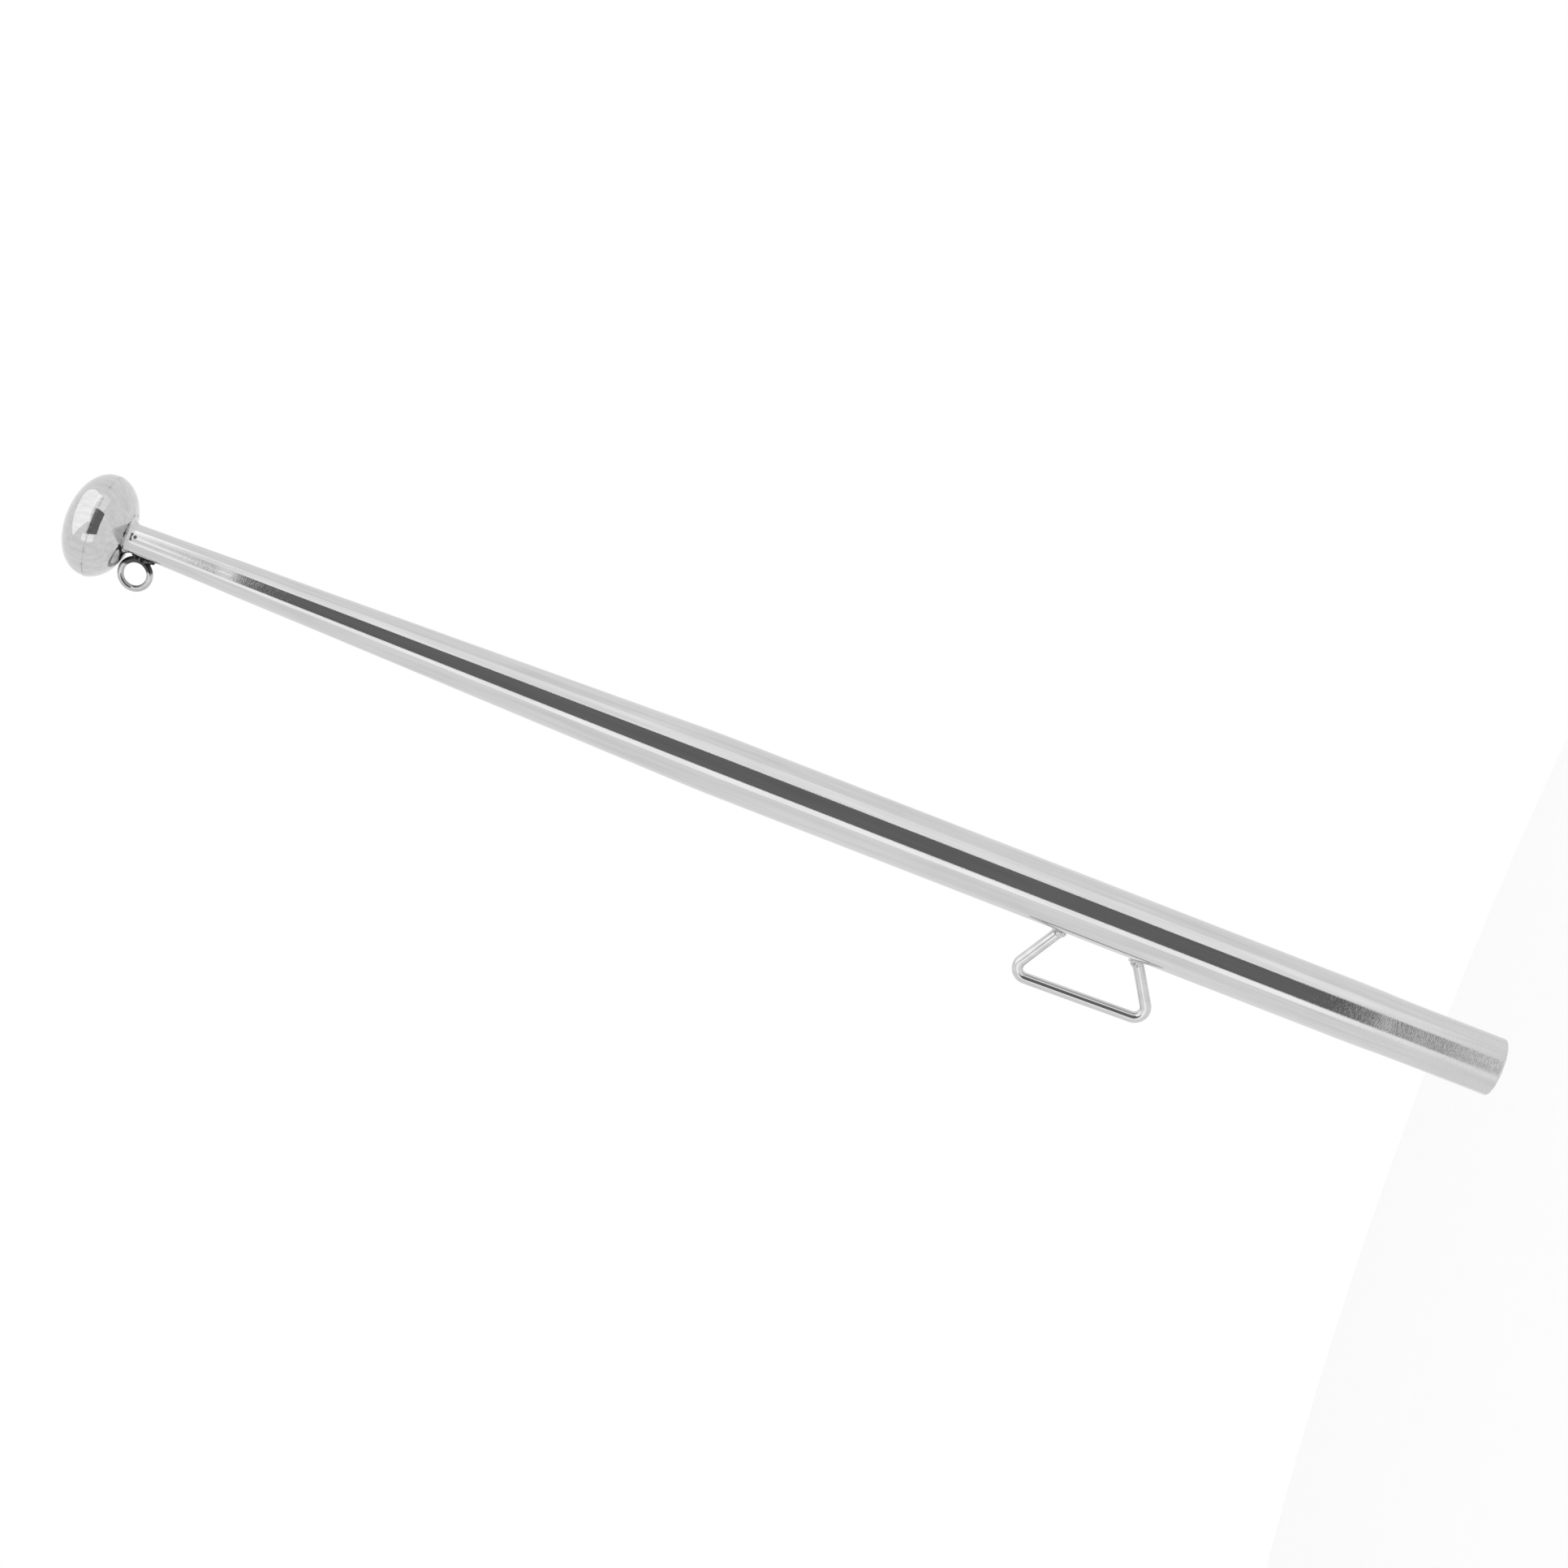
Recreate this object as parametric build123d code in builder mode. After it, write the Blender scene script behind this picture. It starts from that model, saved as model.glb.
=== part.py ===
from build123d import *

import os
from math import cos, radians, sin

# Boat flagpole in polished stainless steel: a tapered tube that stands in a deck socket,
# a flattened ball on top, a wire ring under the ball and a wire hoop lower down,
# so that a flag can be made fast at its upper and its lower corner.
#
# Frame: millimetres, +Z up the pole, origin at the centre of the tube's lower end.
# The ring and the hoop stand out on the -X side, in the plane Y = 0.

# Tube
tube_radius = 12.5
tube_wall = 1.5
socket_end_relief = 0.35  # the lower end is sized down, to slip into a 25 mm socket
socket_end_length = 32.0
socket_blend_length = 34.0
straight_height = 341.0  # where the long taper starts
taper_blend_radius = 400.0
neck_radius = 6.05  # outside of the tube where it meets the ball
end_edge_radius = 0.6
end_edge_chamfer = 0.2
tube_reach_in_ball = 4.0

# Ball: two pressed shells, welded a little below its middle
ball_centre_height = 605.4
ball_radius = 21.5
ball_half_height = 13.55
ball_wall = 1.5
ball_fullness = 0.58  # curve handle as a share of each half axis; 0.552 is an ellipse
seam_drop = 1.6  # the upper shell has a straight rim from the ball's middle down to the seam
lower_shell_lean = 14.0  # degrees by which the lower shell turns in at the seam
seam_width = 0.6
tube_hole_clearance = 0.1
neck_weld_radius = 3.0

# Ring under the ball
ring_radius = 6.1  # to the middle of the wire
ring_wire_radius = 1.35
ring_drop = 5.5  # middle of the ring, below the ball's underside
ring_root_gap = 0.3  # between the wire and the tube, filled by the bead
ring_weld_cover = 1.2  # how far the bead stands out past the wire's own radius
ring_weld_half_length = 5.0
ring_weld_drop = 1.8  # middle of the bead, below the middle of the ring

# Hoop on the straight part
hoop_height = 167.2
hoop_foot_spacing = 33.0  # middle of the wire, at the tube's surface
hoop_bar_length = 61.6  # middle of the wire, from corner to corner before the bends
hoop_reach = 24.5  # tube's surface to the middle of the bar
hoop_wire_radius = 2.4
hoop_bend_radius = 4.5
hoop_root_depth = 3.0  # the wire starts this far inside, and is coped to the tube
hoop_tilt = 1.4  # degrees in its own plane: the bar's lower end is nearer the tube
hoop_bead_radius = 1.05
hoop_bead_offset = 0.25  # middle of the bead, outside the wire's own radius

# What follows from these
neck_height = ball_centre_height - ball_half_height
tube_top_height = neck_height + tube_reach_in_ball
taper_slope = (tube_radius - neck_radius) / (neck_height - straight_height)
socket_end_radius = tube_radius - socket_end_relief

os.makedirs("parts", exist_ok=True)


def taper_radius(height):
    """Outside radius of the tube at a height on its tapered part."""
    return tube_radius - taper_slope * (height - straight_height)


def tube_side(inset):
    """Points up one side of the tube, from its lower end to its top, inset from the outside."""
    return [
        (socket_end_radius - inset, 0),
        (socket_end_radius - inset, socket_end_length),
        (tube_radius - inset, socket_end_length + socket_blend_length),
        (tube_radius - inset, straight_height),
        (taper_radius(tube_top_height) - inset, tube_top_height),
    ]


def ball_side(inset):
    """Half outline of the ball, from its top down to its bottom, inset from the outside."""
    radius = ball_radius - inset
    half_height = ball_half_height - inset
    top = ball_centre_height + half_height
    bottom = ball_centre_height - half_height
    seam_height = ball_centre_height - seam_drop
    across = ball_fullness * radius
    along = ball_fullness * half_height
    below = ball_fullness * (half_height - seam_drop)
    leaning_radius = radius - below * sin(radians(lower_shell_lean))
    leaning_height = seam_height - below * cos(radians(lower_shell_lean))
    Bezier((0, top), (across, top), (radius, ball_centre_height + along), (radius, ball_centre_height))
    Line((radius, ball_centre_height), (radius, seam_height))
    Bezier((radius, seam_height), (leaning_radius, leaning_height), (across, bottom), (0, bottom))
    Line((0, bottom), (0, top))


# The tube's outside as a solid bar, which trims what is welded to it
with BuildPart() as tube_body:
    with BuildSketch(Plane.XZ) as body_section:
        with BuildLine():
            Polyline((0, 0), *tube_side(0), (0, tube_top_height), close=True)
        make_face()
        body_corners = body_section.vertices()
        fillet(body_corners.sort_by_distance((tube_radius, straight_height))[0], taper_blend_radius)
    revolve(axis=Axis.Z)

with BuildPart() as shaft_tube:
    with BuildSketch(Plane.XZ) as tube_section:
        with BuildLine():
            Polyline(*tube_side(0), *reversed(tube_side(tube_wall)), close=True)
        make_face()
        tube_corners = tube_section.vertices()
        outer_bend = tube_corners.sort_by_distance((tube_radius, straight_height))[0]
        inner_bend = tube_corners.sort_by_distance((tube_radius - tube_wall, straight_height))[0]
        fillet([outer_bend, inner_bend], taper_blend_radius)
        end_corners = tube_section.vertices()
        fillet(end_corners.sort_by_distance((socket_end_radius, 0))[0], end_edge_radius)
        bore_corners = tube_section.vertices()
        chamfer(bore_corners.sort_by_distance((socket_end_radius - tube_wall, 0))[0], end_edge_chamfer)
    revolve(axis=Axis.Z)
shaft_tube.part.label = "shaft_tube"
export_step(shaft_tube.part, "parts/shaft_tube.step")

with BuildPart() as ball_body:
    with BuildSketch(Plane.XZ):
        with BuildLine():
            ball_side(0)
        make_face()
    revolve(axis=Axis.Z)

with BuildPart() as ball_hollow:
    with BuildSketch(Plane.XZ):
        with BuildLine():
            ball_side(ball_wall)
        make_face()
    revolve(axis=Axis.Z)

with BuildPart() as finial_upper_shell:
    add(ball_body.part)
    add(ball_hollow.part, mode=Mode.SUBTRACT)
    split(bisect_by=Plane.XY.offset(ball_centre_height - seam_drop + seam_width / 2), keep=Keep.TOP)
finial_upper_shell.part.label = "finial_upper_shell"
export_step(finial_upper_shell.part, "parts/finial_upper_shell.step")

with BuildPart() as finial_lower_shell:
    add(ball_body.part)
    add(ball_hollow.part, mode=Mode.SUBTRACT)
    split(bisect_by=Plane.XY.offset(ball_centre_height - seam_drop - seam_width / 2), keep=Keep.BOTTOM)
    with Locations((0, 0, neck_height)):
        Cylinder(neck_radius + tube_hole_clearance, 2 * tube_reach_in_ball, mode=Mode.SUBTRACT)
finial_lower_shell.part.label = "finial_lower_shell"
export_step(finial_lower_shell.part, "parts/finial_lower_shell.step")

with BuildPart() as finial_seam_weld:
    add(ball_body.part)
    add(ball_hollow.part, mode=Mode.SUBTRACT)
    split(bisect_by=Plane.XY.offset(ball_centre_height - seam_drop - seam_width / 2), keep=Keep.TOP)
    split(bisect_by=Plane.XY.offset(ball_centre_height - seam_drop + seam_width / 2), keep=Keep.BOTTOM)
finial_seam_weld.part.label = "finial_seam_weld"
export_step(finial_seam_weld.part, "parts/finial_seam_weld.step")

# Concave weld between the ball's underside and the tube, ground smooth
with BuildPart() as finial_neck_weld:
    with BuildSketch(Plane.XZ) as neck_section:
        with BuildLine():
            ball_side(0)
        make_face()
        with BuildLine():
            Polyline(
                (0, neck_height - ball_radius),
                (taper_radius(neck_height - ball_radius), neck_height - ball_radius),
                (taper_radius(tube_top_height), tube_top_height),
                (0, tube_top_height),
                close=True,
            )
        make_face()
        neck_corners = neck_section.vertices()
        fillet(neck_corners.sort_by_distance((neck_radius, neck_height))[0], neck_weld_radius)
    revolve(axis=Axis.Z)
    add(ball_body.part, mode=Mode.SUBTRACT)
    add(tube_body.part, mode=Mode.SUBTRACT)
finial_neck_weld.part.label = "finial_neck_weld"
export_step(finial_neck_weld.part, "parts/finial_neck_weld.step")

# Wire ring for the flag's upper corner, just clear of the ball
ring_height = neck_height - ring_drop
ring_seat_radius = taper_radius(ring_height)
ring_distance = ring_seat_radius + ring_root_gap + ring_wire_radius + ring_radius

with BuildPart() as top_ring:
    with Locations((-ring_distance, 0, ring_height)):
        Torus(ring_radius, ring_wire_radius, rotation=(90, 0, 0))
top_ring.part.label = "top_ring"
export_step(top_ring.part, "parts/top_ring.step")

ring_weld_height = ring_height - ring_weld_drop
ring_weld_seat = taper_radius(ring_weld_height)

with BuildPart() as ring_weld:
    with BuildSketch(Plane.XZ):
        with Locations((-ring_weld_seat, ring_weld_height)):
            Ellipse(ring_wire_radius + ring_weld_cover, ring_weld_half_length)
        split(bisect_by=Plane.YZ.offset(-ring_weld_seat), keep=Keep.BOTTOM)
    revolve(axis=Axis((-ring_weld_seat, 0, ring_weld_height), (0, 0, 1)))
    add(tube_body.part, mode=Mode.SUBTRACT)
    add(top_ring.part, mode=Mode.SUBTRACT)
ring_weld.part.label = "ring_weld"
export_step(ring_weld.part, "parts/ring_weld.step")


def hoop_point(out, up):
    """A point in the plane Y = 0, out from the tube's surface and up from the hoop's middle."""
    tilt = radians(hoop_tilt)
    distance = tube_radius + out * cos(tilt) + up * sin(tilt)
    height = hoop_height + up * cos(tilt) - out * sin(tilt)
    return (-distance, 0, height)


# Bent wire hoop for the flag's lower corner: its feet are coped to the tube
leg_slope = (hoop_bar_length - hoop_foot_spacing) / 2 / hoop_reach
root_offset = hoop_foot_spacing / 2 - leg_slope * hoop_root_depth

with BuildPart() as flag_hoop:
    with BuildLine() as hoop_path:
        FilletPolyline(
            hoop_point(-hoop_root_depth, root_offset),
            hoop_point(hoop_reach, hoop_bar_length / 2),
            hoop_point(hoop_reach, -hoop_bar_length / 2),
            hoop_point(-hoop_root_depth, -root_offset),
            radius=hoop_bend_radius,
        )
    with BuildSketch(Plane(origin=hoop_path.line @ 0, z_dir=hoop_path.line % 0)):
        Circle(hoop_wire_radius)
    sweep()
    add(tube_body.part, mode=Mode.SUBTRACT)
flag_hoop.part.label = "flag_hoop"
export_step(flag_hoop.part, "parts/flag_hoop.step")

# Each bead lies round the place where the middle of the wire comes out of the tube
upper_foot_height = hoop_height + hoop_foot_spacing / 2
lower_foot_height = hoop_height - hoop_foot_spacing / 2

with BuildPart() as hoop_upper_weld:
    with Locations((-tube_radius, 0, upper_foot_height)):
        Torus(hoop_wire_radius + hoop_bead_offset, hoop_bead_radius, rotation=(0, 90, 0))
    add(tube_body.part, mode=Mode.SUBTRACT)
    add(flag_hoop.part, mode=Mode.SUBTRACT)
hoop_upper_weld.part.label = "hoop_upper_weld"
export_step(hoop_upper_weld.part, "parts/hoop_upper_weld.step")

with BuildPart() as hoop_lower_weld:
    with Locations((-tube_radius, 0, lower_foot_height)):
        Torus(hoop_wire_radius + hoop_bead_offset, hoop_bead_radius, rotation=(0, 90, 0))
    add(tube_body.part, mode=Mode.SUBTRACT)
    add(flag_hoop.part, mode=Mode.SUBTRACT)
hoop_lower_weld.part.label = "hoop_lower_weld"
export_step(hoop_lower_weld.part, "parts/hoop_lower_weld.step")
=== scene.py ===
from math import atan2, cos, hypot, pi, radians, sin, sqrt, tan, tanh

import bmesh
import bpy
from mathutils import Matrix, Vector, noise
from mathutils.geometry import interpolate_bezier


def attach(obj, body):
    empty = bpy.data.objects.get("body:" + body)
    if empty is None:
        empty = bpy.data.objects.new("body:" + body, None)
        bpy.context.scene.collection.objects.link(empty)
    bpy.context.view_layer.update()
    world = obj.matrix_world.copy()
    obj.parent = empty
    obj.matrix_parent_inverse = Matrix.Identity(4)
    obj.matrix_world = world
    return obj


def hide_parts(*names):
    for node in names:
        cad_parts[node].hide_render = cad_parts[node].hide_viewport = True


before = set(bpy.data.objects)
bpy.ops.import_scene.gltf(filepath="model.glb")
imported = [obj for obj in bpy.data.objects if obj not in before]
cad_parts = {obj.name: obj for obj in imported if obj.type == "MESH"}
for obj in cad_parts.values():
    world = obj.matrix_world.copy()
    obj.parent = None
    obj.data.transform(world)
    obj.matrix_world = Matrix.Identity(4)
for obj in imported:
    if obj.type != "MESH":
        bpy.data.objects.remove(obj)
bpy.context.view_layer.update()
scene = bpy.context.scene
mm = 0.001   # the pieces are modelled in millimetres, and their meshes are brought to metres at the end
print("frame: nodes", len(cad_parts))

# The camera looks level at the pole, from a little round towards +X, and is rolled,
# so that the pole lies across the frame

camera = dict(lens=67.2, position=(0.0026, -1.184, 0.3099),   # the place before the turn round the pole
              turn=18.0, roll=68.77)


def placeCamera():
    data = bpy.data.cameras.new("camera")
    data.lens = camera["lens"]
    data.sensor_width = 36
    shot = bpy.data.objects.new("camera", data)
    scene.collection.objects.link(shot)
    place = Matrix.Rotation(radians(camera["turn"]), 4, "Z") @ Matrix.Translation(camera["position"])
    level = Matrix.Rotation(radians(90), 4, "X")
    shot.matrix_world = place @ level @ Matrix.Rotation(radians(-camera["roll"]), 4, "Z")
    scene.camera = shot


placeCamera()


# Materials: sums on a Field add the Math nodes, every other node comes from Look.node

class Field:
    def __init__(self, look, socket):
        self.look = look
        self.socket = socket

    def maths(self, operation, *others):
        values = dict(enumerate((self,) + others))
        return self.look.node("ShaderNodeMath", dict(operation=operation), values)["Value"]

    def __add__(self, other):
        return self.maths("ADD", other)

    def __sub__(self, other):
        return self.maths("SUBTRACT", other)

    def __mul__(self, other):
        return self.maths("MULTIPLY", other)

    def __rsub__(self, other):
        return self.look.node("ShaderNodeMath", dict(operation="SUBTRACT"), {0: other, 1: self})["Value"]

    __radd__ = __add__
    __rmul__ = __mul__

    def __abs__(self):
        return self.maths("ABSOLUTE")

    def __pow__(self, power):
        return self.maths("POWER", power)

    def ramp(self, low, high):   # 0 at low and 1 at high, whichever is larger
        settings = dict(interpolation_type="SMOOTHSTEP")
        values = {"Value": self, "From Min": low, "From Max": high}
        return self.look.node("ShaderNodeMapRange", settings, values)["Result"]

    def hump(self, middle, halfWidth):   # 1 at the middle, 0 from half a width away
        return 1 - abs(self - middle).ramp(0, halfWidth)


class Look:
    def __init__(self, owner):
        owner.use_nodes = True
        self.tree = owner.node_tree
        self.tree.nodes.clear()

    def node(self, kind, settings, values):
        made = self.tree.nodes.new(kind)
        for name, setting in settings.items():
            setattr(made, name, setting)
        for name, value in values.items():
            if isinstance(value, Field):
                self.tree.links.new(value.socket, made.inputs[name])
            else:
                made.inputs[name].default_value = value
        return {output.name: Field(self, output) for output in made.outputs}

    def split(self, vector):
        parts = self.node("ShaderNodeSeparateXYZ", {}, {"Vector": vector})
        return parts["X"], parts["Y"], parts["Z"]

    def join(self, x, y, z):
        return self.node("ShaderNodeCombineXYZ", {}, {"X": x, "Y": y, "Z": z})["Vector"]

    def vector(self, operation, values):
        return self.node("ShaderNodeVectorMath", dict(operation=operation), values)["Vector"]

    def noise(self, vector, scale, detail=2.0, roughness=0.5):
        values = {"Vector": vector, "Scale": scale, "Detail": detail, "Roughness": roughness}
        return self.node("ShaderNodeTexNoise", {}, values)["Fac"]

    def bump(self, height, distance, under=None):
        values = {"Height": height, "Distance": distance, "Strength": 1.0}
        if under:
            values["Normal"] = under
        return self.node("ShaderNodeBump", {}, values)["Normal"]

    def grey(self, level):
        values = {"Red": level, "Green": level, "Blue": level}
        return self.node("ShaderNodeCombineColor", {}, values)["Color"]


def newMaterial(name):
    material = bpy.data.materials.new(name)
    return material, Look(material)


# Mirror polish: fine hair across it from the polishing wheel, faint haze, wipe marks and small pits.
# Hair lengths are in millimetres, and the hair's depth is in metres. The lower end is scuffed.

polish = dict(roughness=0.012, hairLength=2.4, hairSpacing=0.2, hairDepth=0.000005,
              haze=0.05, hazeScale=55.0, hazePatches=(0.5, 0.75), hazeRoughness=0.012,
              wipes=0.22, wipesAcross=500, wipesAlong=18,
              pitScale=420.0, pitSize=(0.12, 0.04), pitSpread=130.0, pitPatches=(0.62, 0.7),
              pitDark=0.2, pitRoughness=0.3, stainAndShadeRoughness=0.25,
              scuffed=(0.12, 0.05), scuffs=4.0)


def polishedSteel(name, base, hairTurn, stainAndShadeFrom=None):
    material, look = newMaterial(name)
    place = look.node("ShaderNodeTexCoord", {}, {})["Object"]
    x, y, z = look.split(place)
    along, across = 1 / (polish["hairSpacing"] * mm), 1 / (polish["hairLength"] * mm)
    hair = look.noise(look.join(x * across, y * across, z * along), 1.0, detail=3.0)
    haze = look.noise(place, polish["hazeScale"], detail=4.0, roughness=0.6)
    wiped = look.join(x * polish["wipesAcross"], y * polish["wipesAcross"], z * polish["wipesAlong"])
    wipes = look.noise(wiped, 1.0, detail=3.0)
    pits = look.node("ShaderNodeTexVoronoi", {}, {"Vector": place, "Scale": polish["pitScale"]})
    sparse = look.noise(place, polish["pitSpread"]).ramp(*polish["pitPatches"])
    mark = pits["Distance"].ramp(*polish["pitSize"]) * sparse
    level = base + (haze - 0.5) * polish["haze"] + (wipes - 0.5) * polish["wipes"] - mark * polish["pitDark"]
    dull = haze.ramp(*polish["hazePatches"]) * polish["hazeRoughness"]
    rough = polish["roughness"] + dull + mark * polish["pitRoughness"]
    # stains darken the steel's colour and dull it, and so does the painted shade of the pinhole, the neck's
    # crease and the neck's ring side
    if stainAndShadeFrom:
        stainAndShade = stainAndShadeFrom(look, place)
        level = level * (1 - stainAndShade)
        rough = rough + stainAndShade * polish["stainAndShadeRoughness"]
    # the hair turns the surface a little to either side, round the pole
    out = look.vector("NORMALIZE", {0: look.join(y * -1, x, 0.0)})
    push = look.vector("SCALE", {0: out, "Scale": (hair - 0.5) * hairTurn})
    face = look.node("ShaderNodeNewGeometry", {}, {})["Normal"]
    bent = look.vector("NORMALIZE", {0: look.vector("ADD", {0: face, 1: push})})
    scuffed = z.ramp(*polish["scuffed"])
    shader = look.node("ShaderNodeBsdfPrincipled", {}, {
        "Base Color": look.grey(level), "Metallic": 1.0, "Roughness": rough,
        "Normal": look.bump(hair * (1 + scuffed * polish["scuffs"]), polish["hairDepth"], bent)})
    look.node("ShaderNodeOutputMaterial", {}, {"Surface": shader["BSDF"]})
    return material


# Stains, and painted shade, on the polish: where each one lies, in metres, and how much of the steel's
# colour it takes

# painted shade of the pinhole: where it lies, how far it reaches and how dark it is
hole = dict(place=(0.00246, -0.00560, 0.5893), reach=(0.0011, 0.0004), dark=0.85)


def pinholeShade(look, place):   # painted shade of a small hole left in the tube's surface just below the neck: the hole itself is not modelled
    values = {0: place, 1: hole["place"]}
    away = look.node("ShaderNodeVectorMath", dict(operation="DISTANCE"), values)["Value"]
    return away.ramp(*hole["reach"]) * hole["dark"]


dirtAndShade = dict(scale=260.0, rim=(0.0200, 0.0205), seamHeight=0.6038,
            seamHalf=0.0016, seamPatches=(0.50, 0.66), seamDark=0.30,
            lineHalf=0.0004, linePatches=(0.42, 0.54), lineDark=0.40,
            # painted shade in the neck's crease, and on the neck's ring side
            creaseRadius=0.0094, creaseHalf=0.0012, creaseHeight=(0.5945, 0.5930),
            creasePatches=(0.42, 0.56), creaseDark=0.85,
            shadeSide=(-0.0030, -0.0070), shadeHeight=(0.5960, 0.5925),
            shadePatches=(0.30, 0.50), shadeDark=0.65)


def besideSeam(look, place):   # dirt along the seam, painted shade in the neck's crease, and painted shade on the neck's ring side
    x, y, z = look.split(place)
    away = (x * x + y * y) ** 0.5
    blotches = look.noise(place, dirtAndShade["scale"], detail=4.0, roughness=0.65)
    onRim = away.ramp(*dirtAndShade["rim"])
    seam = z.hump(dirtAndShade["seamHeight"], dirtAndShade["seamHalf"]) * onRim * blotches.ramp(*dirtAndShade["seamPatches"])
    line = z.hump(dirtAndShade["seamHeight"], dirtAndShade["lineHalf"]) * onRim * blotches.ramp(*dirtAndShade["linePatches"])
    # painted shade in the crease between the neck weld and the ball
    crease = away.hump(dirtAndShade["creaseRadius"], dirtAndShade["creaseHalf"]) * z.ramp(*dirtAndShade["creaseHeight"])
    crease = crease * blotches.ramp(*dirtAndShade["creasePatches"])
    # painted shade on the neck's ring side, darker towards -X above the neck
    ringSideShade = x.ramp(*dirtAndShade["shadeSide"]) * z.ramp(*dirtAndShade["shadeHeight"]) * blotches.ramp(*dirtAndShade["shadePatches"])
    onBall = (seam * dirtAndShade["seamDark"]).maths("MAXIMUM", line * dirtAndShade["lineDark"])
    atNeck = onBall.maths("MAXIMUM", crease * dirtAndShade["creaseDark"])
    return atNeck.maths("MAXIMUM", ringSideShade * dirtAndShade["shadeDark"])


heat = dict(scale=380.0, reach=(-0.0135, -0.0090), blotches=0.9, edge=(0.35, 0.85), dark=0.85)


def besideRingWeld(look, place):   # heat has darkened the ring near the tube
    x = look.split(place)[0]
    blotches = look.noise(place, heat["scale"], detail=4.0, roughness=0.6)
    near = x.ramp(*heat["reach"]) + (blotches - 0.5) * heat["blotches"]
    return near.ramp(*heat["edge"]) * heat["dark"]


# Weld metal as it solidified: lumpy, duller, with burnt dark patches

weld = dict(roughness=0.22, burntScale=520.0, burntEdge=0.18, burntRoughness=0.25, burntHeight=0.5,
            grainScale=2600.0, grainRoughness=0.15, grainDepth=0.00005)


def weldSteel(name, bright, dark, burntFrom):
    material, look = newMaterial(name)
    place = look.node("ShaderNodeTexCoord", {}, {})["Object"]
    patches = look.noise(place, weld["burntScale"], detail=4.0, roughness=0.65)
    burnt = patches.ramp(burntFrom, burntFrom + weld["burntEdge"])
    grain = look.noise(place, weld["grainScale"], detail=3.0)
    level = bright - burnt * (bright - dark)
    rough = weld["roughness"] + burnt * weld["burntRoughness"] + (grain - 0.5) * weld["grainRoughness"]
    shader = look.node("ShaderNodeBsdfPrincipled", {}, {
        "Base Color": look.grey(level), "Metallic": 1.0, "Roughness": rough,
        "Normal": look.bump(grain + burnt * weld["burntHeight"], weld["grainDepth"])})
    look.node("ShaderNodeOutputMaterial", {}, {"Surface": shader["BSDF"]})
    return material


tubeSteel = polishedSteel("tubeSteel", base=0.60, hairTurn=0.03, stainAndShadeFrom=pinholeShade)
ballSteel = polishedSteel("ballSteel", base=0.58, hairTurn=0.02, stainAndShadeFrom=besideSeam)
ringSteel = polishedSteel("ringSteel", base=0.50, hairTurn=0.02, stainAndShadeFrom=besideRingWeld)
hoopSteel = polishedSteel("hoopSteel", base=0.60, hairTurn=0.03)
ringWeldMetal = weldSteel("ringWeldMetal", bright=0.22, dark=0.02, burntFrom=0.30)
hoopWeldMetal = weldSteel("hoopWeldMetal", bright=0.62, dark=0.12, burntFrom=0.50)
print("materials: polished steel and weld metal")


# Helpers for the meshes

def finishPiece(name, shape, material, slot, *nodes, sharp=40):
    bmesh.ops.remove_doubles(shape, verts=shape.verts, dist=0.0005)
    bmesh.ops.recalc_face_normals(shape, faces=shape.faces)
    bmesh.ops.scale(shape, verts=shape.verts, vec=(mm, mm, mm))
    for edge in shape.edges:
        edge.smooth = edge.calc_face_angle(0) < radians(sharp)
    for face in shape.faces:
        face.smooth = True
    data = bpy.data.meshes.new(name)
    shape.to_mesh(data)
    shape.free()
    data.materials.append(material)
    piece = bpy.data.objects.new(name, data)
    scene.collection.objects.link(piece)
    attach(piece, "root")
    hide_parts(*nodes)
    print("piece:", name, len(data.polygons), "faces")


def outlineLoop(shape, corners):   # a closed outline in the plane Y = 0, from (distance, height) corners
    verts = [shape.verts.new((x, 0, z)) for x, z in corners]
    for pair in zip(verts, verts[1:] + verts[:1]):
        shape.edges.new(pair)


def turnRound(shape, steps):
    outline = shape.verts[:] + shape.edges[:]
    bmesh.ops.spin(shape, geom=outline, cent=(0, 0, 0), axis=(0, 0, 1), angle=2 * pi,
                   steps=steps, use_merge=True)


def cornerAt(shape, x, z):
    return min(shape.verts, key=lambda v: hypot(v.co.x - x, v.co.z - z))


def roundCorner(shape, x, z, size, segments):
    bmesh.ops.bevel(shape, geom=[cornerAt(shape, x, z)], offset=size, segments=segments,
                    affect="VERTICES", profile=0.5, material=-1)


def lumpAt(place, waves):   # waves are (fineness, height) pairs
    return sum(noise.noise(place * fineness) * height for fineness, height in waves)


def rippleAt(place, height, ripple):   # rows across a bead, one for each time that the weld pool froze
    wander = noise.noise(place * ripple["fineness"]) * ripple["wander"]
    return sin(height * ripple["rows"] + wander) * ripple["depth"]


# Tube: straight for more than half its length, then a long taper, and a sized lower end.
# Each swage leaves a small step where it was gripped.

tube = dict(radius=12.5, wall=1.5, endRadius=12.15, endLength=32.0, blendLength=34.0, straightTo=341.0,
            neckRadius=6.05, neckHeight=591.85, top=595.85, bendRound=5.0, edgeRound=0.6, boreEdge=0.2,
            edgeBand=1.0, ringSpacing=2.5, boreSpacing=40, steps=176,
            swages=((50.3, 0.14, 3.0, 30.0), (549.5, 0.10, 3.0, 36.0)))   # height, step, half length, reach


def tubeRadius(height):   # outside radius on the taper
    slope = (tube["radius"] - tube["neckRadius"]) / (tube["neckHeight"] - tube["straightTo"])
    return tube["radius"] - slope * (height - tube["straightTo"])


def swageStep(height):
    total = 0
    for middle, step, halfLength, reach in tube["swages"]:
        away = height - middle
        if abs(away) < reach:
            side = 1 if middle < tube["straightTo"] else -1
            total += side * step / 2 * (tanh(away / halfLength) - away / reach)
    return total


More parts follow.
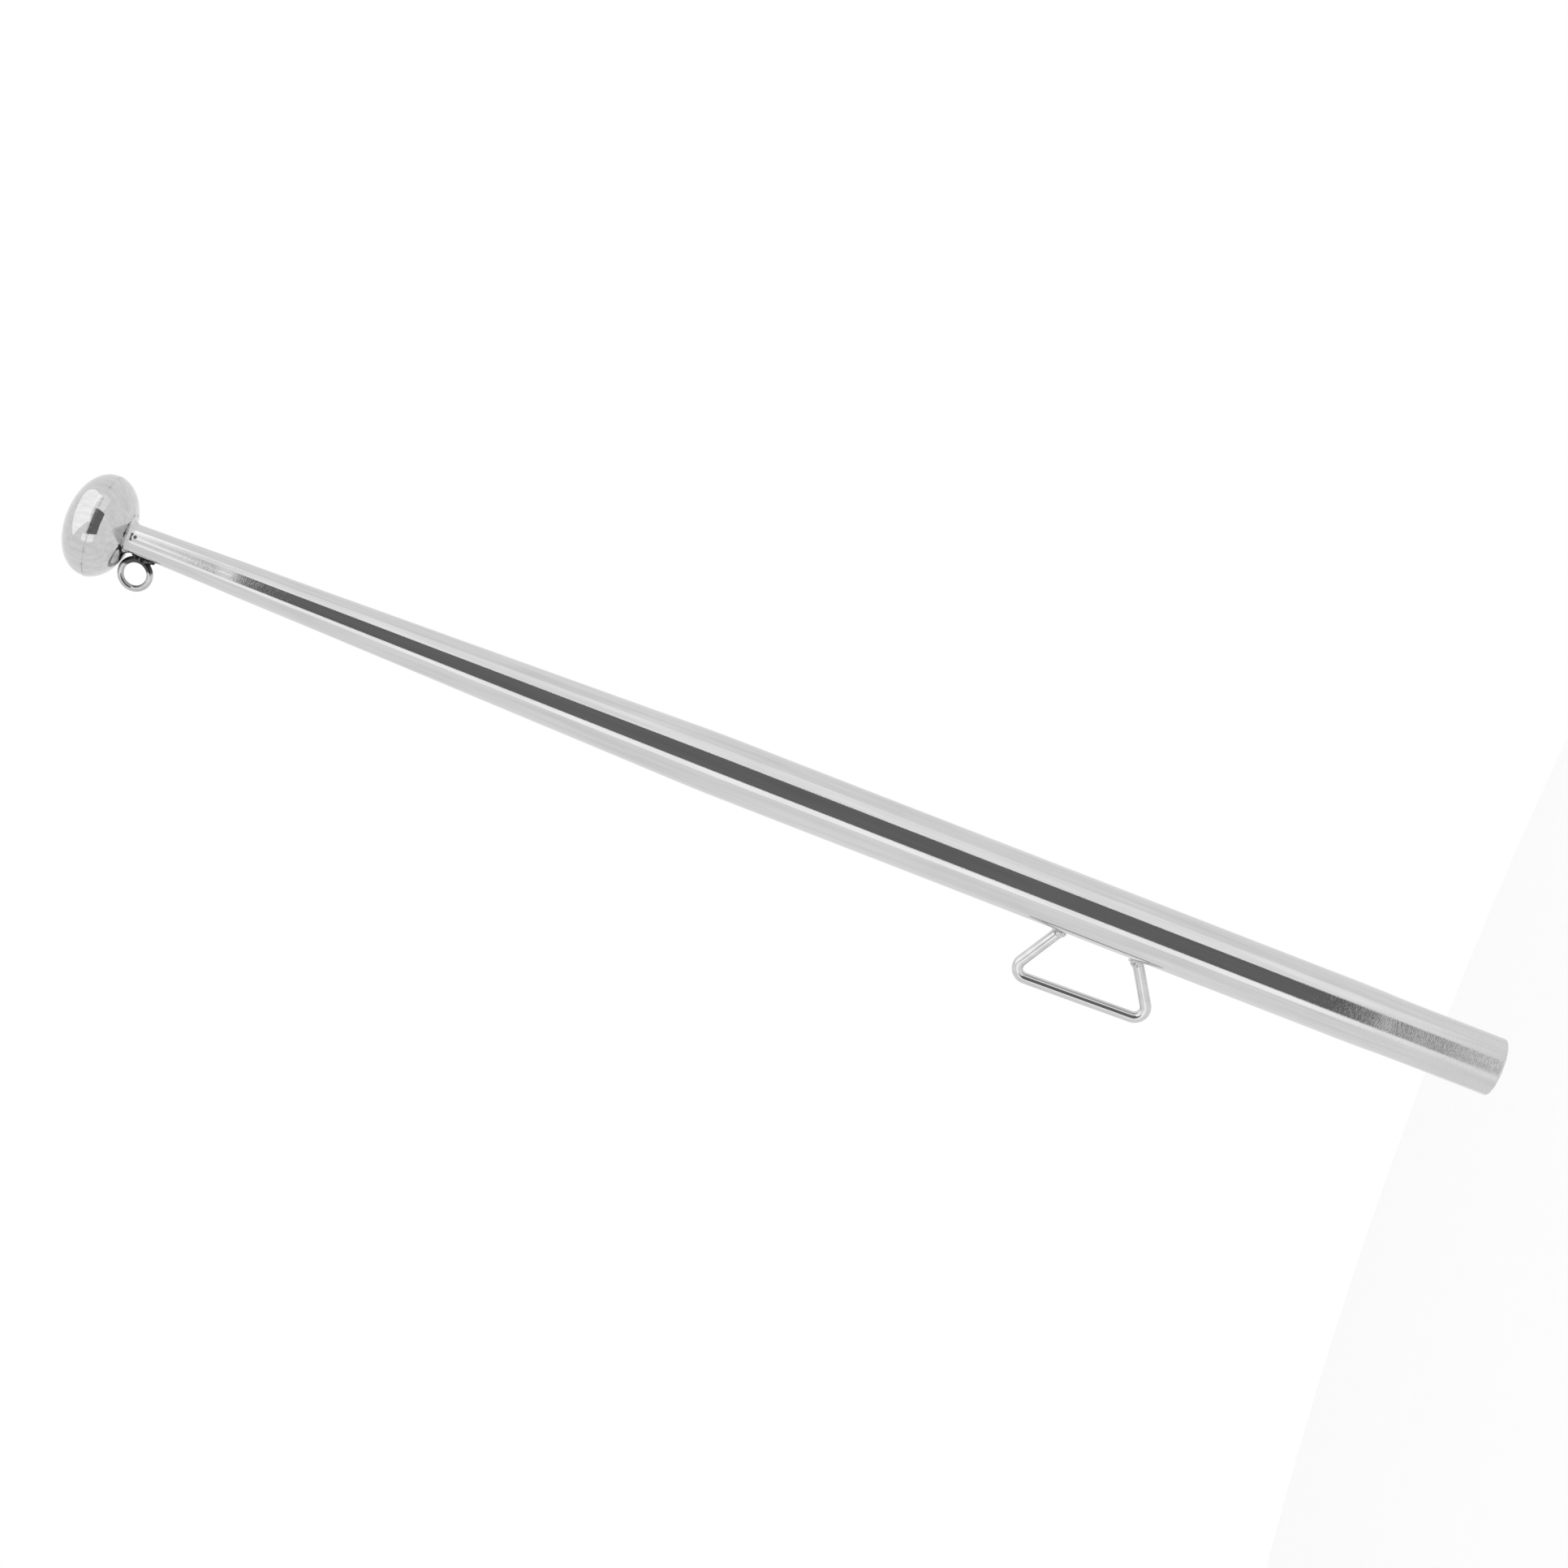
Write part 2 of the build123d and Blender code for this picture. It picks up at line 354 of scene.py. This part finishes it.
def makeTube():
    shape = bmesh.new()
    blendTo = tube["endLength"] + tube["blendLength"]
    side = [(tube["endRadius"], height) for height in (0, tube["edgeBand"], tube["endLength"])]
    side += [(tube["radius"], height) for height in (blendTo, tube["straightTo"])]
    side += [(tubeRadius(tube["top"]), tube["top"])]
    inside = [(x - tube["wall"], z) for x, z in reversed(side)]
    outlineLoop(shape, side + inside)
    roundCorner(shape, tube["radius"], tube["straightTo"], tube["bendRound"], segments=6)
    roundCorner(shape, tube["endRadius"], 0, tube["edgeRound"], segments=5)
    roundCorner(shape, tube["endRadius"] - tube["wall"], 0, tube["boreEdge"], segments=1)
    for edge in shape.edges[:]:
        low, high = sorted(v.co.z for v in edge.verts)
        wallMiddle = tubeRadius(max(low, tube["straightTo"])) - tube["wall"] / 2
        outside = max(v.co.x for v in edge.verts) > wallMiddle
        cuts = int((high - low) / (tube["ringSpacing"] if outside else tube["boreSpacing"]))
        if cuts:
            bmesh.ops.subdivide_edges(shape, edges=[edge], cuts=cuts)
    for vert in shape.verts:
        vert.co.x += swageStep(vert.co.z)
    turnRound(shape, tube["steps"])
    finishPiece("shaftTube", shape, tubeSteel, "polished_steel", "shaft_tube", sharp=30)


makeTube()


# Ball: two pressed shells, with the seam between them a little below the middle and ground flush.
# The rings close to each rim keep its edge crisp.

ball = dict(height=605.4, radius=21.5, halfHeight=13.55, wall=1.5, fullness=0.58, lean=14.0, hole=6.15,
            rimBand=0.3, rimClear=0.4, rimTop=0.6, rimRound=0.05, curveSteps=40, steps=192,
            seam=0.6, seamDrop=1.6, seamDepth=0.02, seamSlope=0.08, seamWaves=((0.9, 0.02), (3.0, 0.01)))


def shellSide(inset, side):   # outline from the seam to the pole; side is 1 above and -1 below
    radius = ball["radius"] - inset
    half = ball["halfHeight"] - inset
    drop, rim = ball["seamDrop"], ball["seam"] / 2
    if side > 0:   # straight from the middle down to the seam
        start, handle = Vector((radius, 0)), Vector((0, half))
        foot = [(radius, -down) for down in (drop - rim, drop - rim - ball["rimBand"], ball["rimTop"])]
    else:
        lean = radians(ball["lean"])
        start, handle, foot = Vector((radius, -drop)), Vector((-sin(lean), -cos(lean))) * (half - drop), []
    end = Vector((0, side * half))
    points = interpolate_bezier(start, start + handle * ball["fullness"],
                                end + Vector((radius * ball["fullness"], 0)), end, ball["curveSteps"])
    if side < 0:
        edges = [Vector((start.x - down * tan(lean), -drop - down)) for down in (rim, rim + ball["rimBand"])]
        points = edges + [p for p in points if p.y < -drop - rim - ball["rimClear"]]
    return foot + [(max(p.x, 0), p.y) for p in points]


def makeShell(name, side, node):
    shape = bmesh.new()
    outer, inner = shellSide(0, side), shellSide(ball["wall"], side)
    if side < 0:
        outer = [p for p in outer if p[0] > ball["hole"]] + [(ball["hole"], outer[-1][1])]
        inner = [p for p in inner if p[0] > ball["hole"]] + [(ball["hole"], inner[-1][1])]
    outlineLoop(shape, outer + inner[::-1])
    roundCorner(shape, outer[0][0], outer[0][1], ball["rimRound"], segments=2)
    turnRound(shape, ball["steps"])
    bmesh.ops.translate(shape, verts=shape.verts, vec=(0, 0, ball["height"]))
    finishPiece(name, shape, ballSteel, "polished_steel", node, sharp=50)


makeShell("finialUpperShell", 1, "finial_upper_shell")
makeShell("finialLowerShell", -1, "finial_lower_shell")


def makeSeam():
    shape = bmesh.new()
    outer, inner, half = ball["radius"] - ball["seamDepth"], ball["radius"] - ball["wall"], ball["seam"] / 2
    low = outer - ball["seamSlope"]
    outlineLoop(shape, [(low, -half), (outer, 0), (outer, half), (inner, half), (inner, -half)])
    turnRound(shape, ball["steps"] * 2)
    bmesh.ops.translate(shape, verts=shape.verts, vec=(0, 0, ball["height"] - ball["seamDrop"]))
    for vert in shape.verts:
        if hypot(vert.co.x, vert.co.y) > (inner + outer) / 2:
            swell = 1 + lumpAt(vert.co, ball["seamWaves"]) / outer
            vert.co.x *= swell
            vert.co.y *= swell
    finishPiece("finialSeamWeld", shape, ballSteel, "polished_steel", "finial_seam_weld")


makeSeam()


# Neck: a concave weld between the ball's underside and the tube, ground and polished by hand

neck = dict(radius=3.0, margin=0.2, sink=0.4, foot=0.1, topRise=0.8, rimIn=0.1, rimRise=0.5, arcSteps=14,
            steps=144, unevenness=0.09, fineness=0.45, liftFineness=0.5)


def makeNeck():
    shape = bmesh.new()
    bottom = tube["neckHeight"]
    across = tubeRadius(bottom) + neck["radius"]
    within = neck["radius"] - neck["margin"]
    under = [(x, z + ball["height"]) for x, z in shellSide(0, -1) if abs(x - across) < within]
    touchX, touchZ = min(under, key=lambda p: p[1] - sqrt(neck["radius"] ** 2 - (p[0] - across) ** 2))
    centreZ = touchZ - sqrt(neck["radius"] ** 2 - (touchX - across) ** 2)
    start = shape.verts.new((touchX, 0, touchZ))
    sweep = pi - atan2(touchZ - centreZ, touchX - across)
    arc = bmesh.ops.spin(shape, geom=[start], cent=(across, 0, centreZ), axis=(0, 1, 0),
                         angle=-sweep, steps=neck["arcSteps"], use_merge=False)
    low = arc["geom_last"][0]
    inner = shape.verts.new((tubeRadius(bottom) - neck["sink"], 0, low.co.z - neck["foot"]))
    top = shape.verts.new((tubeRadius(bottom) - neck["sink"], 0, bottom + neck["topRise"]))
    rim = shape.verts.new((touchX + neck["rimIn"], 0, touchZ + neck["rimRise"]))
    for pair in ((low, inner), (inner, top), (top, rim), (rim, start)):
        shape.edges.new(pair)
    turnRound(shape, neck["steps"])
    for vert in shape.verts:
        out = hypot(vert.co.x, vert.co.y)
        if out > tubeRadius(bottom) + 0.02:   # the inner wall stays round
            swell = 1 + noise.noise(vert.co * neck["fineness"]) * neck["unevenness"] / out
            vert.co.x *= swell
            vert.co.y *= swell
            lifted = vert.co * neck["liftFineness"] + Vector((9, 0, 0))   # another part of the noise
            vert.co.z += noise.noise(lifted) * neck["unevenness"]
    finishPiece("finialNeckWeld", shape, ballSteel, "polished_steel", "finial_neck_weld", sharp=60)


makeNeck()


# Ring below the ball, and the bead that holds it

ring = dict(radius=6.1, wire=1.35, drop=5.5, rootGap=0.3, steps=112, wireSteps=36)
bead = dict(length=5.2, width=2.5, thickness=2.05, sink=0.1, drop=1.7, lumps=0.35,
            waves=((0.9, 0.7), (2.6, 0.35)), ripple=dict(rows=5.2, fineness=0.6, wander=3, depth=0.12))
ringHeight = tube["neckHeight"] - ring["drop"]
ringSeat = tubeRadius(ringHeight)
ringMiddle = Vector((-(ringSeat + ring["rootGap"] + ring["wire"] + ring["radius"]), 0, ringHeight))


def makeRing():
    shape = bmesh.new()
    bmesh.ops.create_circle(shape, radius=ring["wire"], segments=ring["wireSteps"])
    bmesh.ops.translate(shape, verts=shape.verts, vec=ringMiddle + Vector((ring["radius"], 0, 0)))
    bmesh.ops.spin(shape, geom=shape.verts[:] + shape.edges[:], cent=ringMiddle, axis=(0, 1, 0),
                   angle=2 * pi, steps=ring["steps"], use_merge=True)
    finishPiece("topRing", shape, ringSteel, "polished_steel", "top_ring", sharp=180)


def makeRingWeld():
    shape = bmesh.new()
    bmesh.ops.create_icosphere(shape, subdivisions=6, radius=1)
    bmesh.ops.scale(shape, verts=shape.verts, vec=(bead["width"], bead["thickness"], bead["length"]))
    seat = (-ringSeat + bead["sink"], 0, ringHeight - bead["drop"])
    bmesh.ops.translate(shape, verts=shape.verts, vec=seat)
    for vert in shape.verts:
        lump = lumpAt(vert.co, bead["waves"])
        ripple = rippleAt(vert.co, vert.co.z, bead["ripple"])
        out = Vector((vert.co.x + ringSeat, vert.co.y, 0))
        vert.co += out.normalized() * (lump * bead["lumps"] + ripple)
    finishPiece("ringWeld", shape, ringWeldMetal, "weld_bead", "ring_weld", sharp=180)


makeRing()
makeRingWeld()


# Hoop: one wire, bent at two corners, with its ends welded to the tube

hoop = dict(height=167.2, footSpacing=33.0, barLength=61.6, reach=24.5, wire=2.4, bend=4.5, tilt=1.4,
            rootDepth=1.1, wireSteps=44, bendSteps=20)
collar = dict(length=2.9, footSpread=0.75, tipSpread=0.05, sink=0.4, swell=0.35, steps=72, rings=22,
              waves=((0.8, 0.8), (2.2, 0.35)), ripple=dict(rows=5.0, fineness=0.5, wander=4, depth=0.18))
flare = atan2((hoop["barLength"] - hoop["footSpacing"]) / 2, hoop["reach"])
tilt = radians(hoop["tilt"])   # the lower end of the bar is a little nearer the tube


def makeHoop():
    shape = bmesh.new()
    turn = pi / 2 + flare
    bmesh.ops.create_circle(shape, radius=hoop["wire"], segments=hoop["wireSteps"])
    # the wire's end faces out along the upper leg, from inside the tube's wall
    along = Vector((-cos(flare), 0, sin(flare)))
    foot = Vector((-tube["radius"], 0, hoop["height"] + hoop["footSpacing"] / 2)) - along * hoop["rootDepth"]
    corner = Vector((-tube["radius"] - hoop["reach"], 0, hoop["height"] + hoop["barLength"] / 2))
    bmesh.ops.rotate(shape, verts=shape.verts, matrix=Matrix.Rotation(flare - pi / 2, 3, "Y"))
    bmesh.ops.translate(shape, verts=shape.verts, vec=foot)
    setback = hoop["bend"] * tan(turn / 2)
    legLength = (corner - foot).length - setback
    barRun = hoop["barLength"] - 2 * setback

    def pushOn(edges, direction, length):
        made = bmesh.ops.extrude_edge_only(shape, edges=edges)["geom"]
        moved = [v for v in made if isinstance(v, bmesh.types.BMVert)]
        bmesh.ops.translate(shape, verts=moved, vec=direction * length)
        return [e for e in made if isinstance(e, bmesh.types.BMEdge) and all(v in moved for v in e.verts)]

    def bendOn(edges, middle):
        verts = list({v for e in edges for v in e.verts})
        made = bmesh.ops.spin(shape, geom=verts + edges, cent=middle, axis=(0, 1, 0),
                              angle=-turn, steps=hoop["bendSteps"], use_merge=False)["geom_last"]
        return [e for e in made if isinstance(e, bmesh.types.BMEdge)]

    loop = pushOn(shape.edges[:], along, legLength)
    inward = Vector((-sin(flare), 0, -cos(flare))) * hoop["bend"]
    loop = bendOn(loop, corner - along * setback + inward)
    loop = pushOn(loop, Vector((0, 0, -1)), barRun)
    lowerCorner = Vector((corner.x, 0, 2 * hoop["height"] - corner.z))
    loop = bendOn(loop, lowerCorner + Vector((hoop["bend"], 0, setback)))
    pushOn(loop, Vector((cos(flare), 0, sin(flare))), legLength)
    bmesh.ops.holes_fill(shape, edges=[e for e in shape.edges if e.is_boundary], sides=0)
    bmesh.ops.rotate(shape, verts=shape.verts, cent=(-tube["radius"], 0, hoop["height"]),
                     matrix=Matrix.Rotation(-tilt, 3, "Y"))
    finishPiece("flagHoop", shape, hoopSteel, "polished_steel", "flag_hoop", sharp=50)


def makeCollar(name, side, node):
    shape = bmesh.new()
    bmesh.ops.create_cone(shape, cap_ends=True, segments=collar["steps"], depth=collar["length"],
                          radius1=hoop["wire"] + collar["footSpread"],
                          radius2=hoop["wire"] + collar["tipSpread"])
    sides = [e for e in shape.edges if abs(e.verts[0].co.z - e.verts[1].co.z) > collar["length"] / 2]
    bmesh.ops.subdivide_edges(shape, edges=sides, cuts=collar["rings"])
    bmesh.ops.translate(shape, verts=shape.verts, vec=(0, 0, collar["length"] / 2 - collar["sink"]))
    for vert in shape.verts:
        flat = Vector((vert.co.x, vert.co.y, 0))
        if flat.length > 1:   # all but the middles of the two ends
            place = vert.co + Vector((40 * side, 0, 0))   # the two collars' lumps differ
            lump = lumpAt(place, collar["waves"])
            ripple = rippleAt(place, vert.co.z, collar["ripple"])
            vert.co += flat.normalized() * (lump + ripple) * collar["swell"]
    bmesh.ops.rotate(shape, verts=shape.verts, matrix=Matrix.Rotation(side * flare - pi / 2 - tilt, 3, "Y"))
    foot = (-tube["radius"], 0, hoop["height"] + side * hoop["footSpacing"] / 2)
    bmesh.ops.translate(shape, verts=shape.verts, vec=foot)
    finishPiece(name, shape, hoopWeldMetal, "weld_bead", node, sharp=70)


makeHoop()
makeCollar("hoopUpperWeld", 1, "hoop_upper_weld")
makeCollar("hoopLowerWeld", -1, "hoop_lower_weld")


# Studio: a pale floor well below the pole, and a plain white backdrop all round and overhead, with
# one opening at the front. Metal shows both as the camera does, and the unlit room in the opening.
# Sizes are in metres, and the opening's half width and turn are in degrees round the pole.

studio = dict(paleColour=0.9, floor=-0.166, floorRadius=0.8, floorGlow=0.765, backdropRadius=2.6,
              backdropBottom=-2.4, backdropTop=3.4, backdropSteps=360, openHalf=29.0, openTurn=3.0,
              openTop=1.21, room=0.18, softBoxAim=(0, 0, 0.35))
softBoxes = dict(overhead=dict(position=(0.75, -0.65, 1.9), width=2.6, height=2.6, power=9.0),
                 right=dict(position=(1.59, -0.61, 0.30), width=1.10, height=1.80, power=1.0),
                 left=dict(position=(-0.55, -1.61, 0.30), width=0.50, height=1.80, power=0.9))


def stagePiece(name, shape, material):
    data = bpy.data.meshes.new(name)
    shape.to_mesh(data)
    shape.free()
    data.materials.append(material)
    made = bpy.data.objects.new(name, data)
    scene.collection.objects.link(made)


def seenWhite(look):   # 1 for the camera, and for metal and glass, so that they show the same background
    path = look.node("ShaderNodeLightPath", {}, {})
    seen = path["Is Camera Ray"].maths("MAXIMUM", path["Is Glossy Ray"])
    return seen.maths("MAXIMUM", path["Is Transmission Ray"])


def mattShader(look):
    grey = studio["paleColour"]
    return look.node("ShaderNodeBsdfDiffuse", {}, {"Color": (grey, grey, grey, 1)})["BSDF"]


def glowShader(look, strength):
    return look.node("ShaderNodeEmission", {}, {"Color": (1, 1, 1, 1), "Strength": strength})["Emission"]


def floorMaterial():   # the glow brings the lit floor up to white, and the shadow stays
    material, look = newMaterial("paleFloor")
    matt = mattShader(look)
    glow = glowShader(look, studio["floorGlow"])
    bright = look.node("ShaderNodeAddShader", {}, {0: matt, 1: glow})["Shader"]
    both = look.node("ShaderNodeMixShader", {}, {0: seenWhite(look), 1: matt, 2: bright})["Shader"]
    look.node("ShaderNodeOutputMaterial", {}, {"Surface": both})
    return material


def backdropMaterial():
    material, look = newMaterial("whiteBackdrop")
    matt = mattShader(look)
    white = glowShader(look, 1.0)
    both = look.node("ShaderNodeMixShader", {}, {0: seenWhite(look), 1: matt, 2: white})["Shader"]
    look.node("ShaderNodeOutputMaterial", {}, {"Surface": both})
    return material


def makeFloor():
    ground = bmesh.new()
    bmesh.ops.create_circle(ground, segments=128, radius=studio["floorRadius"], cap_ends=True)
    bmesh.ops.translate(ground, verts=ground.verts, vec=(0, 0, studio["floor"]))
    stagePiece("floor", ground, floorMaterial())


def makeBackdrop():
    wall = bmesh.new()
    radius, bottom, top = studio["backdropRadius"], studio["backdropBottom"], studio["backdropTop"]
    middle = Matrix.Translation((0, 0, (top + bottom) / 2))
    bmesh.ops.create_cone(wall, cap_ends=False, segments=studio["backdropSteps"], radius1=radius,
                          radius2=radius, depth=top - bottom, matrix=middle)
    bmesh.ops.bisect_plane(wall, geom=wall.verts[:] + wall.edges[:] + wall.faces[:],
                           plane_co=(0, 0, studio["openTop"]), plane_no=(0, 0, 1))
    centres = {face: face.calc_center_median() for face in wall.faces}
    opening = [face for face, centre in centres.items() if centre.z < studio["openTop"]
               and abs(atan2(centre.x, -centre.y)) < radians(studio["openHalf"])]
    bmesh.ops.delete(wall, geom=opening, context="FACES")
    bmesh.ops.create_circle(wall, segments=studio["backdropSteps"], radius=radius, cap_ends=True,
                            matrix=Matrix.Translation((0, 0, top)))
    facing = Matrix.Rotation(radians(camera["turn"] + studio["openTurn"]), 3, "Z")
    bmesh.ops.rotate(wall, verts=wall.verts, matrix=facing)
    stagePiece("backdrop", wall, backdropMaterial())


def makeRoom():   # one plain grey beyond the opening
    world = bpy.data.worlds.new("room")
    scene.world = world
    look = Look(world)
    grey = studio["room"]
    plain = look.node("ShaderNodeBackground", {}, {"Color": (grey, grey, grey, 1), "Strength": 1.0})
    look.node("ShaderNodeOutputWorld", {}, {"Surface": plain["Background"]})


def addSoftBox(name, box):
    data = bpy.data.lights.new(name, "AREA")
    data.shape = "RECTANGLE"
    data.size = box["width"]
    data.size_y = box["height"]
    data.energy = box["power"]
    made = bpy.data.objects.new(name, data)
    scene.collection.objects.link(made)
    aim = (Vector(studio["softBoxAim"]) - Vector(box["position"])).to_track_quat("-Z", "Y")
    made.matrix_world = Matrix.Translation(box["position"]) @ aim.to_matrix().to_4x4()
    made.visible_camera = False


makeFloor()
makeBackdrop()
makeRoom()
for name, box in softBoxes.items():
    addSoftBox(name + "SoftBox", box)
scene.view_settings.view_transform = "Standard"
print("studio: floor, backdrop and", len(softBoxes), "soft boxes")
